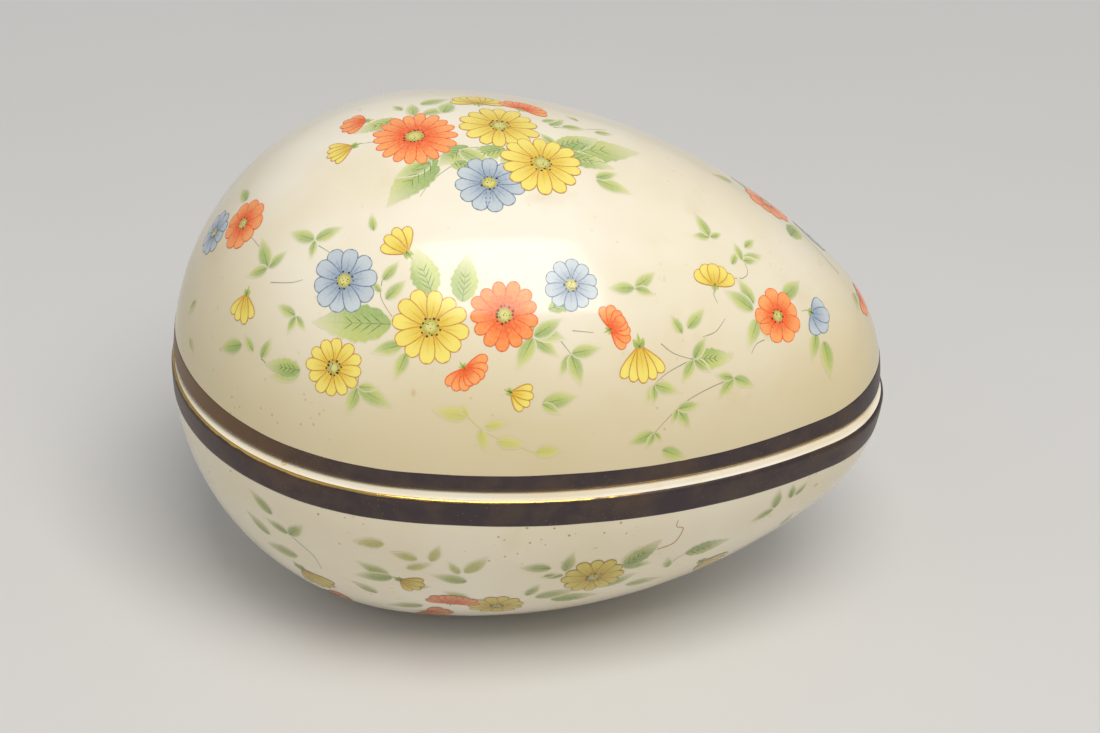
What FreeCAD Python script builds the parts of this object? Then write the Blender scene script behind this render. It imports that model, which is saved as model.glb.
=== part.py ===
"""Egg-shaped porcelain trinket box: a thin-walled bowl with a locating lip, a lift-off lid, gilt rims.

The egg lies on its side with its long axis along X, the narrow end towards +X, and is split at its
middle by a level seam. Both halves are the same plan outline turned about the long axis: a blunt-end
arc, a tip arc and a side arc that is tangent to both. Each piece is modelled with the seam at z = 0
and is then lifted by its Placement, so that the box stands on z = 0. Millimetres.
"""
import FreeCAD, Part
import math
import os
import Sketcher

DIMENSIONS = [
    # alias, value, what it is
    ("egg_length", 90.0, "length of the base over its gilding"),
    ("blunt_radius", 33.0, "plan radius of the blunt end"),
    ("tip_radius", 19.4, "plan radius of the narrow end"),
    ("side_radius", 73.0, "plan radius of the long sides"),
    ("seam_height", 31.0, "foot to the flat land where the halves meet"),
    ("base_wall", 2.6, "wall of the bowl"),
    ("floor_thickness", 2.2, "floor of the bowl over the foot"),
    ("foot_centre", -8.3, "middle of the foot along the length"),
    ("foot_half_length", 14.2, "half length of the floor's oval"),
    ("foot_half_width", 10.9, "half width of the floor's oval"),
    ("foot_ring", 2.4, "width of the unglazed ring round the foot's dish"),
    ("foot_dish_depth", 0.5, "depth of the dish inside the foot ring"),
    ("land_width", 3.9, "land outside the lip, on which the lid sits"),
    ("land_thickness", 2.4, "porcelain under the land"),
    ("lip_thickness", 1.6, "wall of the locating lip"),
    ("lip_height", 2.6, "lip above the land"),
    ("lip_rounding", 0.5, "rounding of the lip's top"),
    ("rim_rounding", 0.8, "rounding of both halves at the seam"),
    ("lid_inset", 0.3, "lid outline inside the base outline, all round"),
    ("lid_wall", 2.2, "wall of the lid"),
    ("lid_inner_rounding", 0.5, "rounding inside the lid's mouth"),
    ("lid_gap", 0.1, "clearance between the lid and the land"),
    ("lid_slip_x", -0.2, "how far the loose lid has slipped along the length"),
    ("lid_slip_y", 1.1, "how far the loose lid has slipped to the back"),
    ("lid_turn", 0.4, "how far the loose lid is turned, degrees"),
    ("gilt_thickness", 0.08, "thickness of the fired-on gilding"),
    ("base_gilt_height", 3.7, "seam to the lower edge of the base's gilding"),
    ("lid_gilt_height", 2.7, "lid edge to the upper edge of its gilding"),
]

BASE_SURFACE = ("gilt_thickness",)
LID_GILT_SURFACE = ("lid_inset",)
LID_SURFACE = ("lid_inset", "gilt_thickness")
LENGTH_TOLERANCE = 1e-4

document = FreeCAD.newDocument("trinket_box")


def make_sheet():
    """The driving dimensions, one row each: what it is, and the aliased number."""
    sheet = document.addObject("Spreadsheet::Sheet", "dims")
    for row, (alias, value, note) in enumerate(DIMENSIONS, start=1):
        sheet.set(f"A{row}", note)
        sheet.set(f"B{row}", str(value))
        sheet.setAlias(f"B{row}", alias)
    document.recompute()
    return sheet


dims = make_sheet()


def total(names):
    """The sum of some of the sheet's cells."""
    return sum(dims.get(name) for name in names)


def expression(names):
    """The same sum, as an expression that stays bound to the sheet."""
    return " + ".join(f"dims.{name}" for name in names) or "0"


# ---------------------------------------------------------------- the egg's outline


def egg_arcs(inset):
    """Centres, radii and join angles of the outline's arcs, inset by a distance."""
    half_length = dims.egg_length / 2
    blunt, side, tip = dims.blunt_radius, dims.side_radius, dims.tip_radius
    blunt_centre = FreeCAD.Vector(blunt - half_length, 0, 0)
    tip_centre = FreeCAD.Vector(half_length - tip, 0, 0)
    span = tip_centre.x - blunt_centre.x
    to_blunt, to_tip = side - blunt, side - tip
    along = (to_blunt ** 2 - to_tip ** 2 + span ** 2) / (2 * span)
    side_centre = FreeCAD.Vector(blunt_centre.x + along, -math.sqrt(to_blunt ** 2 - along ** 2), 0)
    tip_direction = tip_centre - side_centre
    blunt_direction = blunt_centre - side_centre
    return {
        "blunt": (blunt_centre, blunt - inset),
        "side": (side_centre, side - inset),
        "tip": (tip_centre, tip - inset),
        "tip_angle": math.atan2(tip_direction.y, tip_direction.x),
        "blunt_angle": math.atan2(blunt_direction.y, blunt_direction.x),
    }


def half_width(x, inset):
    """Half the width of the outline at x."""
    arcs = egg_arcs(inset)
    side_centre, side = arcs["side"]
    if x > side_centre.x + side * math.cos(arcs["tip_angle"]):
        centre, radius = arcs["tip"]
    elif x < side_centre.x + side * math.cos(arcs["blunt_angle"]):
        centre, radius = arcs["blunt"]
    else:
        centre, radius = arcs["side"]
    return centre.y + math.sqrt(max(radius ** 2 - (x - centre.x) ** 2, 0))


def arc(centre, radius, start, end, mirrored=False):
    """An arc from one angle to another, or the same arc on the outline's other side."""
    if mirrored:
        centre = FreeCAD.Vector(centre.x, -centre.y, 0)
        start, end = -end, -start
    return Part.ArcOfCircle(Part.Circle(centre, FreeCAD.Vector(0, 0, 1), radius), start, end)


def bind_radius(sketch, curve, name, inset_names):
    """Give one arc its radius from the sheet, less the inset."""
    constraint = sketch.addConstraint(Sketcher.Constraint("Radius", curve, sketch.Geometry[curve].Radius))
    sketch.setExpression(f"Constraints[{constraint}]", f"dims.{name} - ({expression(inset_names)})")


def bind_end_centres(sketch, blunt_curve, tip_curve):
    """Put the end arcs' centres on the long axis, where the sheet says."""
    origin, centre_point = (-1, 1), 3
    for curve, name in ((blunt_curve, "blunt_radius"), (tip_curve, "tip_radius")):
        sketch.addConstraint(Sketcher.Constraint("PointOnObject", curve, centre_point, -1))
        reach = dims.egg_length / 2 - dims.get(name)
        ends = (curve, centre_point) + origin
        if curve == tip_curve:
            ends = origin + (curve, centre_point)
        constraint = sketch.addConstraint(Sketcher.Constraint("DistanceX", *ends, reach))
        sketch.setExpression(f"Constraints[{constraint}]", f"dims.egg_length / 2 - dims.{name}")


def join_tangent(sketch, curves, closed):
    """Join each curve's end to the next one's start, tangent."""
    pairs = list(zip(curves, curves[1:]))
    if closed:
        pairs.append((curves[-1], curves[0]))
    for first, second in pairs:
        sketch.addConstraint(Sketcher.Constraint("Tangent", first, 2, second, 1))


def draw_half_outline(sketch, inset_names):
    """The outline's far half, closed along the long axis, to be turned about it."""
    arcs = egg_arcs(total(inset_names))
    tip = sketch.addGeometry(arc(*arcs["tip"], 0, arcs["tip_angle"]))
    side = sketch.addGeometry(arc(*arcs["side"], arcs["tip_angle"], arcs["blunt_angle"]))
    blunt = sketch.addGeometry(arc(*arcs["blunt"], arcs["blunt_angle"], math.pi))
    axis = sketch.addGeometry(Part.LineSegment(
        sketch.Geometry[blunt].EndPoint, sketch.Geometry[tip].StartPoint))
    join_tangent(sketch, [tip, side, blunt], closed=False)
    sketch.addConstraint(Sketcher.Constraint("Coincident", blunt, 2, axis, 1))
    sketch.addConstraint(Sketcher.Constraint("Coincident", axis, 2, tip, 1))
    sketch.addConstraint(Sketcher.Constraint("PointOnObject", tip, 1, -1))
    sketch.addConstraint(Sketcher.Constraint("PointOnObject", blunt, 2, -1))
    bind_end_centres(sketch, blunt, tip)
    for curve, name in ((tip, "tip_radius"), (side, "side_radius"), (blunt, "blunt_radius")):
        bind_radius(sketch, curve, name, inset_names)


def draw_full_outline(sketch, inset_names):
    """The whole outline, to be padded straight up or down."""
    arcs = egg_arcs(total(inset_names))
    tip_angle, blunt_angle = arcs["tip_angle"], arcs["blunt_angle"]
    tip = sketch.addGeometry(arc(*arcs["tip"], -tip_angle, tip_angle))
    far_side = sketch.addGeometry(arc(*arcs["side"], tip_angle, blunt_angle))
    blunt = sketch.addGeometry(arc(*arcs["blunt"], blunt_angle, 2 * math.pi - blunt_angle))
    near_side = sketch.addGeometry(arc(*arcs["side"], tip_angle, blunt_angle, mirrored=True))
    join_tangent(sketch, [tip, far_side, blunt, near_side], closed=True)
    bind_end_centres(sketch, blunt, tip)
    for curve, name in ((tip, "tip_radius"), (blunt, "blunt_radius")):
        bind_radius(sketch, curve, name, inset_names)
    for curve in (far_side, near_side):
        bind_radius(sketch, curve, "side_radius", inset_names)


# ---------------------------------------------------------------- features


def make_body(label, lift_names=("seam_height",)):
    """An empty body with its seam lifted to its height above the foot."""
    body = document.addObject("PartDesign::Body", label)
    body.Label = label
    body.setExpression("Placement.Base.z", expression(lift_names))
    return body


def make_sketch(body, name, level="0"):
    """A level sketch in a body, at a height above the seam given as an expression."""
    sketch = body.newObject("Sketcher::SketchObject", name)
    plane = next(item for item in body.Origin.OriginFeatures if item.Role == "XY_Plane")
    sketch.AttachmentSupport = [(plane, "")]
    sketch.MapMode = "FlatFace"
    sketch.setExpression("AttachmentOffset.Base.z", level)
    return sketch


def finish_feature(body, feature, grows):
    """Recompute, and stop if the feature did nothing or went the wrong way."""
    before = feature.BaseFeature.Shape.Volume if feature.BaseFeature else 0.0
    document.recompute()
    change = feature.Shape.Volume - before
    if abs(change) < LENGTH_TOLERANCE or (change > 0) != grows:
        raise RuntimeError(f"{body.Label}: {feature.Name} changed the volume by {change:.3f} mm3")
    return feature


def turn_half(body, name, inset_names, upward, cut=False):
    """Turn the half outline half a turn about the long axis, to add or to hollow a half egg."""
    sketch = make_sketch(body, f"{name}_outline")
    draw_half_outline(sketch, inset_names)
    feature = body.newObject("PartDesign::Groove" if cut else "PartDesign::Revolution", name)
    feature.Profile = sketch
    feature.ReferenceAxis = (sketch, ["H_Axis"])
    feature.Angle = 180.0
    feature.Reversed = not upward
    return finish_feature(body, feature, grows=not cut)


def pad_ring(body, name, outer_names, inner_names, height_name, upward):
    """A ring between two outlines, standing on the seam or hanging from it."""
    sketch = make_sketch(body, f"{name}_outline")
    draw_full_outline(sketch, outer_names)
    draw_full_outline(sketch, inner_names)
    feature = body.newObject("PartDesign::Pad", name)
    feature.Profile = sketch
    feature.setExpression("Length", f"dims.{height_name}")
    feature.Reversed = not upward
    return finish_feature(body, feature, grows=True)


def trim_beyond(body, name, level, upward):
    """Cut away everything above or below a level."""
    sketch = make_sketch(body, f"{name}_outline", level)
    disc = sketch.addGeometry(Part.Circle(FreeCAD.Vector(), FreeCAD.Vector(0, 0, 1), dims.egg_length))
    sketch.addConstraint(Sketcher.Constraint("Coincident", disc, 3, -1, 1))
    radius = sketch.addConstraint(Sketcher.Constraint("Radius", disc, dims.egg_length))
    sketch.setExpression(f"Constraints[{radius}]", "dims.egg_length")
    feature = body.newObject("PartDesign::Pocket", name)
    feature.Profile = sketch
    feature.Type = "ThroughAll"
    feature.Reversed = upward
    return finish_feature(body, feature, grows=False)


def foot_oval(body, name, margin_names=()):
    """A sketch of the foot's oval on the resting plane, less a margin."""
    sketch = make_sketch(body, f"{name}_outline", "-dims.seam_height")
    margin = total(margin_names)
    half_length = dims.foot_half_length - margin
    half_breadth = dims.foot_half_width - margin
    centre = FreeCAD.Vector(dims.foot_centre, 0, 0)
    oval = sketch.addGeometry(Part.Ellipse(
        centre + FreeCAD.Vector(half_length, 0, 0), centre + FreeCAD.Vector(0, half_breadth, 0), centre))
    sketch.exposeInternalGeometry(oval)
    major, minor = oval + 1, oval + 2
    sketch.addConstraint(Sketcher.Constraint("PointOnObject", oval, 3, -1))
    sketch.addConstraint(Sketcher.Constraint("Horizontal", major))
    sized = (
        (Sketcher.Constraint("DistanceX", oval, 3, -1, 1, -dims.foot_centre), "-dims.foot_centre"),
        (Sketcher.Constraint("Distance", major, 2 * half_length),
         f"2 * (dims.foot_half_length - ({expression(margin_names)}))"),
        (Sketcher.Constraint("Distance", minor, 2 * half_breadth),
         f"2 * (dims.foot_half_width - ({expression(margin_names)}))"),
    )
    for constraint, value in sized:
        index = sketch.addConstraint(constraint)
        sketch.setExpression(f"Constraints[{index}]", value)
    return sketch


def pad_floor(body):
    """Thicken the bowl's floor over the flat of the foot."""
    feature = body.newObject("PartDesign::Pad", "floor")
    feature.Profile = foot_oval(body, "floor")
    feature.setExpression("Length", "dims.floor_thickness")
    return finish_feature(body, feature, grows=True)


def dish_foot(body):
    """Dish the foot, so that the box stands on a ring."""
    feature = body.newObject("PartDesign::Pocket", "foot_dish")
    feature.Profile = foot_oval(body, "foot_dish", ("foot_ring",))
    feature.setExpression("Length", "dims.foot_dish_depth")
    feature.Reversed = True
    return finish_feature(body, feature, grows=False)


def round_edges(body, name, base, level, inset_names, radius_name):
    """Round the edges that follow an outline at a level."""
    inset = total(inset_names)
    chosen = []
    for number, edge in enumerate(base.Shape.Edges, start=1):
        middle = edge.valueAt((edge.FirstParameter + edge.LastParameter) / 2)
        is_level = edge.BoundBox.ZLength < LENGTH_TOLERANCE
        is_at_level = is_level and abs(edge.BoundBox.ZMin - level) < LENGTH_TOLERANCE
        if is_at_level and abs(abs(middle.y) - half_width(middle.x, inset)) < LENGTH_TOLERANCE:
            chosen.append(f"Edge{number}")
    if not chosen:
        raise RuntimeError(f"{body.Label}: no edge to round for {name}")
    feature = body.newObject("PartDesign::Fillet", name)
    feature.Base = (base, chosen)
    feature.setExpression("Radius", f"dims.{radius_name}")
    document.recompute()
    return feature


def sit_on_base(body):
    """Place a piece of the lid where the loose lid has come to rest."""
    body.setExpression("Placement.Base.x", "dims.lid_slip_x")
    body.setExpression("Placement.Base.y", "dims.lid_slip_y")
    body.setExpression("Placement.Rotation.Angle", "dims.lid_turn * 1 deg")


# ---------------------------------------------------------------- the pieces


def make_base_shell():
    """The bowl: outer egg, hollow, flat foot, and a land and lip inside the rim."""
    body = make_body("base_shell")
    lip_inner = BASE_SURFACE + ("land_width", "lip_thickness")
    turn_half(body, "outside", BASE_SURFACE, upward=False)
    turn_half(body, "hollow", BASE_SURFACE + ("base_wall",), upward=False, cut=True)
    trim_beyond(body, "foot_flat", "-dims.seam_height", upward=False)
    pad_floor(body)
    dish_foot(body)
    pad_ring(body, "land", BASE_SURFACE + ("rim_rounding",), lip_inner, "land_thickness", upward=False)
    lip = pad_ring(body, "lip", BASE_SURFACE + ("land_width",), lip_inner, "lip_height", upward=True)
    rim = round_edges(body, "rim_edge", lip, 0.0, BASE_SURFACE, "rim_rounding")
    top = round_edges(body, "lip_outer_edge", rim, dims.lip_height,
                      BASE_SURFACE + ("land_width",), "lip_rounding")
    round_edges(body, "lip_inner_edge", top, dims.lip_height, lip_inner, "lip_rounding")
    return body


def make_lid_shell():
    """The lid: a plain thin dome, rounded at its mouth inside and out."""
    body = make_body("lid_shell", ("seam_height", "lid_gap"))
    turn_half(body, "outside", LID_SURFACE, upward=True)
    hollow = turn_half(body, "hollow", LID_SURFACE + ("lid_wall",), upward=True, cut=True)
    rim = round_edges(body, "rim_edge", hollow, 0.0, LID_SURFACE, "rim_rounding")
    round_edges(body, "mouth_edge", rim, 0.0, LID_SURFACE + ("lid_wall",), "lid_inner_rounding")
    sit_on_base(body)
    return body


def make_gilt_band(label, outer_names, upward, height_name, lift_names):
    """A film of gilding round one half, from its rounded edge to the band's height."""
    body = make_body(label, lift_names)
    sign = "" if upward else "-"
    turn_half(body, "gilt_surface", outer_names, upward)
    turn_half(body, "glaze_surface", outer_names + ("gilt_thickness",), upward, cut=True)
    trim_beyond(body, "band_far_edge", f"{sign}dims.{height_name}", upward)
    trim_beyond(body, "band_seam_edge", f"{sign}dims.rim_rounding", not upward)
    return body


def check_and_write(bodies):
    """Stop on any failed object or bad solid, and then write every piece."""
    for item in document.Objects:
        if "Invalid" in item.State or "Error" in item.State:
            raise RuntimeError(f"{item.Name} is {item.State}")
    for body in bodies:
        shape = body.Shape
        if shape.isNull() or not shape.isValid() or len(shape.Solids) != 1:
            raise RuntimeError(f"{body.Label} is not one valid solid")
    os.makedirs("parts", exist_ok=True)
    for body in bodies:
        body.Shape.exportStep(f"parts/{body.Label}.step")
        box = body.Shape.BoundBox
        print(f"{body.Label}: {body.Shape.Volume / 1000:.2f} cm3, "
              f"x {box.XMin:.2f}..{box.XMax:.2f}, y {box.YMin:.2f}..{box.YMax:.2f}, "
              f"z {box.ZMin:.2f}..{box.ZMax:.2f}")


base_shell = make_base_shell()
lid_shell = make_lid_shell()
base_gilt_band = make_gilt_band("base_gilt_band", (), False, "base_gilt_height", ("seam_height",))
lid_gilt_band = make_gilt_band(
    "lid_gilt_band", LID_GILT_SURFACE, True, "lid_gilt_height", ("seam_height", "lid_gap"))
sit_on_base(lid_gilt_band)
document.recompute()
check_and_write([base_shell, base_gilt_band, lid_shell, lid_gilt_band])
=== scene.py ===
"""The looks of the egg-shaped porcelain trinket box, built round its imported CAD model.

The porcelain halves, the gilding and the printed flowers are all laid out on the same egg: a plan
outline of three tangent arcs turned about the long axis. A place on the egg is a station along the
long axis, in millimetres, and a girth angle round it, in degrees: 0 at the front of the seam, 90 at
the crown of the lid, 180 at the back, and the same below the seam with a minus sign.
"""
import math
import random

import bpy
import numpy as np
from mathutils import Matrix, Vector


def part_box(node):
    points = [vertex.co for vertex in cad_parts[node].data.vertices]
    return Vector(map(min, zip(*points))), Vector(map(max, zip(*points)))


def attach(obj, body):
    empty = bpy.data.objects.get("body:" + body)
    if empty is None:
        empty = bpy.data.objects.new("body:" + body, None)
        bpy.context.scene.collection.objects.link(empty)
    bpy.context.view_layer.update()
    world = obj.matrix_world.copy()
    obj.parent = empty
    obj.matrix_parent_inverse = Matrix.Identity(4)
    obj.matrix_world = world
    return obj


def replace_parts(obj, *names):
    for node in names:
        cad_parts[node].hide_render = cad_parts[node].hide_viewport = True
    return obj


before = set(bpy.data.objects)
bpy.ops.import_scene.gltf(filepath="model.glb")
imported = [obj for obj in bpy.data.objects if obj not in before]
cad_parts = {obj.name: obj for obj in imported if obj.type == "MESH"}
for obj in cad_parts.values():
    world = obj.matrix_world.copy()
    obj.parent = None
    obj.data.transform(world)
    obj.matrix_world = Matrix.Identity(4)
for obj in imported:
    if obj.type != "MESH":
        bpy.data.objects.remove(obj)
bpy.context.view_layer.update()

# ---- sizes, in the egg's millimetres

EGG_LENGTH = 90.0
BLUNT_RADIUS = 33.0
TIP_RADIUS = 19.4
SIDE_RADIUS = 73.0
GILT_FILM = 0.08
BASE_WALL = 2.6
FLOOR_DEPTH = 28.8
FOOT_DEPTH = 31.0
DISH_EDGE_DEPTH = 31.8
DISH_RISE = 0.5
LAND_WIDTH = 3.9
LAND_THICKNESS = 2.4
LIP_THICKNESS = 1.6
LIP_HEIGHT = 2.6
LIP_ROUNDING = 0.5
RIM_ROUNDING = 0.8
LID_INSET = 0.3
LID_WALL = 2.2
LID_INNER_ROUNDING = 0.5
LID_TURN = math.radians(0.4)

band_low, band_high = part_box("base_gilt_band")
shell_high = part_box("base_shell")[1]
lid_low, lid_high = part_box("lid_shell")
MM = (band_high.x - band_low.x) / EGG_LENGTH
SEAM = shell_high.z - LIP_HEIGHT * MM
BASE_INSET = GILT_FILM
LID_OUTSIDE = LID_INSET + GILT_FILM

# ---- the egg

AROUND = 288  # points round every ring
GIRTH_STEPS = 56  # rings from the seam to the pole
LAST_GIRTH = math.radians(89.3)  # just short of the pole
BISECTIONS = 40
TINY = 1e-9


def outline_arcs():
    """Centres and radii of the outline's blunt, side and tip arcs, and where they join along X."""
    blunt_x = BLUNT_RADIUS - EGG_LENGTH / 2
    tip_x = EGG_LENGTH / 2 - TIP_RADIUS
    span = tip_x - blunt_x
    to_blunt, to_tip = SIDE_RADIUS - BLUNT_RADIUS, SIDE_RADIUS - TIP_RADIUS
    along = (to_blunt**2 - to_tip**2 + span**2) / (2 * span)
    side = np.array([blunt_x + along, -math.sqrt(to_blunt**2 - along**2)])
    return np.array([blunt_x, 0.0]), side, np.array([tip_x, 0.0])


BLUNT_CENTRE, SIDE_CENTRE, TIP_CENTRE = outline_arcs()
BLUNT_ANGLE = math.atan2(*(BLUNT_CENTRE - SIDE_CENTRE)[::-1])
TIP_ANGLE = math.atan2(*(TIP_CENTRE - SIDE_CENTRE)[::-1])


def half_width(x, inset):
    """Half the width of the outline at x, and its slope there."""
    x = np.asarray(x, float)
    side_radius = SIDE_RADIUS - inset
    on_tip = x > SIDE_CENTRE[0] + side_radius * math.cos(TIP_ANGLE)
    on_blunt = x < SIDE_CENTRE[0] + side_radius * math.cos(BLUNT_ANGLE)
    pick = [on_tip, on_blunt]
    centre_x = np.select(pick, [TIP_CENTRE[0], BLUNT_CENTRE[0]], SIDE_CENTRE[0])
    centre_y = np.select(pick, [0.0, 0.0], SIDE_CENTRE[1])
    radius = np.select(pick, [TIP_RADIUS - inset, BLUNT_RADIUS - inset], side_radius)
    rise = np.sqrt(np.maximum(radius**2 - (x - centre_x) ** 2, TINY))
    return centre_y + rise, -(x - centre_x) / rise


def outline(count):
    """Points of the plan outline with even spacing, and the outward normal at each."""
    arcs = [
        (TIP_CENTRE, TIP_RADIUS, 0.0, TIP_ANGLE),
        (SIDE_CENTRE, SIDE_RADIUS, TIP_ANGLE, BLUNT_ANGLE),
        (BLUNT_CENTRE, BLUNT_RADIUS, BLUNT_ANGLE, math.pi),
    ]
    lengths = [radius * (end - start) for _, radius, start, end in arcs]
    half = sum(lengths)
    points, normals = [], []
    for i in range(count):
        run = 2 * half * i / count
        mirrored = run > half
        left = 2 * half - run if mirrored else run
        for (centre, radius, start, end), length in zip(arcs, lengths):
            if left <= length + TINY:
                break
            left -= length
        angle = start + left / radius
        normal = np.array([math.cos(angle), math.sin(angle)])
        point = centre + radius * normal
        flip = np.array([1.0, -1.0 if mirrored else 1.0])
        points.append(point * flip)
        normals.append(normal * flip)
    return np.array(points), np.array(normals)


OUTLINE, OUTWARD = outline(AROUND)
CROWN = np.array([SIDE_CENTRE[0], 0.0])
WIDEST_SHIFT = -CROWN[0] * MM * math.sin(LID_TURN)
BASE_PLACE = Matrix.Translation((0, 0, SEAM)) @ Matrix.Scale(MM, 4)
lid_middle_x = (lid_low.x + lid_high.x) / 2
lid_middle_y = (lid_low.y + lid_high.y) / 2 + WIDEST_SHIFT
LID_PLACE = (
    Matrix.Translation((lid_middle_x, lid_middle_y, lid_low.z))
    @ Matrix.Rotation(LID_TURN, 4, "Z")
    @ Matrix.Scale(MM, 4)
)


def offset_ring(inset, height):
    """The outline, inset, at a height above the seam. Both may vary round the ring."""
    inset = np.broadcast_to(inset, (AROUND,))[:, None]
    level = np.broadcast_to(height, (AROUND,))[:, None]
    return np.hstack([OUTLINE - OUTWARD * inset, level])


def level_ring(inset, depth, height=None):
    """Where the inset egg is a given depth from the seam, drawn at that height or another."""
    near, far = np.zeros(AROUND), np.ones(AROUND)
    edge = OUTLINE - OUTWARD * inset - CROWN
    depth = np.broadcast_to(depth, (AROUND,))
    for _ in range(BISECTIONS):
        middle = (near + far) / 2
        point = CROWN + edge * middle[:, None]
        width, _ = half_width(point[:, 0], inset)
        deeper = width**2 - point[:, 1] ** 2 > depth**2
        near = np.where(deeper, middle, near)
        far = np.where(deeper, far, middle)
    point = CROWN + edge * ((near + far) / 2)[:, None]
    level = np.broadcast_to(depth if height is None else height, (AROUND,))[:, None]
    return np.hstack([point, level])


def ring_depths(inset, start, finer=()):
    """Depths from a start near the seam to just short of the pole, evenly spaced round the girth."""
    deepest = half_width(CROWN[0], inset)[0]
    angles = np.linspace(math.asin(start / deepest), LAST_GIRTH, GIRTH_STEPS)
    depths = deepest * np.sin(angles)
    return np.unique(np.concatenate([depths, [d for d in finer if d < deepest]]))


def quarter_round(inset, radius, height, steps, outward, upward):
    """Rings round an edge's rounding, from its side face to its top or bottom face."""
    rings = []
    for angle in np.linspace(0, math.pi / 2, steps):
        across = radius * (1 - math.cos(angle)) * (1 if outward else -1)
        rise = radius * (math.sin(angle) - 1) * (1 if upward else -1)
        rings.append(offset_ring(inset + across, height + rise))
    return rings


# ---- mesh helpers


def ease(value, low, high):
    """A smooth step from 0 at low to 1 at high."""
    share = np.clip((np.asarray(value, float) - low) / (high - low), 0, 1)
    return share * share * (3 - 2 * share)


def srgb(red, green, blue):
    """A colour given as 8-bit sRGB, as the linear values that shaders take."""
    values = [c / 255 for c in (red, green, blue)]
    return tuple(c / 12.92 if c < 0.04045 else ((c + 0.055) / 1.055) ** 2.4 for c in values)


def add_object(name, points, faces, body, place, material, material_slot):
    """A smooth mesh object from points in the egg's millimetres, riding on a body."""
    mesh = bpy.data.meshes.new(name)
    world = np.asarray(points, float) @ np.array(place.to_3x3()).T + np.array(place.translation)
    mesh.from_pydata(world.tolist(), [], faces)
    mesh.polygons.foreach_set("use_smooth", [True] * len(mesh.polygons))
    mesh.materials.append(material)
    mesh.update()
    piece = bpy.data.objects.new(name, mesh)
    bpy.context.scene.collection.objects.link(piece)
    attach(piece, body)
    return piece


def add_attribute(piece, name, values):
    """One number for each vertex, which the material reads."""
    attribute = piece.data.attributes.new(name, "FLOAT", "POINT")
    attribute.data.foreach_set("value", np.asarray(values, np.float32))


def ring_faces(count, closed):
    """Quads between successive rings of points. Closed joins the last ring to the first."""
    faces = []
    for k in range(count if closed else count - 1):
        here, there = k * AROUND, ((k + 1) % count) * AROUND
        for i in range(AROUND):
            j = (i + 1) % AROUND
            faces.append((here + i, here + j, there + j, there + i))
    return faces


def ring_shell(name, rings, poles, **about):
    """A closed shell through rings, from one pole to the other."""
    points = np.vstack(rings + [np.array(poles)])
    faces = ring_faces(len(rings), closed=False)
    first_pole, last_pole = len(rings) * AROUND, len(rings) * AROUND + 1
    last = (len(rings) - 1) * AROUND
    for i in range(AROUND):
        j = (i + 1) % AROUND
        faces.append((first_pole, j, i))
        faces.append((last_pole, last + i, last + j))
    return add_object(name, points, faces, **about)


# ---- materials

NOISE_ROUGHNESS = 0.55
IVORY = srgb(246, 239, 221)
DEEPER_IVORY = srgb(238, 227, 200)
STAIN = srgb(216, 190, 138)
# The colour of the painted shade that darkens the glaze towards the seam.
SEAM_SHADE = srgb(210, 192, 142)
SPECK = srgb(180, 118, 40)
SMUDGE = srgb(196, 146, 72)
BARE_BODY = srgb(222, 214, 198)
TARNISH = srgb(66, 56, 60)
WARM_TARNISH = srgb(82, 68, 62)
TARNISH_PATCH = srgb(112, 86, 58)
TARNISH_BROWN = srgb(132, 98, 56)
TARNISH_PINPRICK = srgb(140, 104, 70)
BRIGHT_GOLD = srgb(232, 188, 96)
FLOOR_DARK = srgb(214, 213, 211)
FLOOR_PALE = srgb(220, 219, 217)


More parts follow.
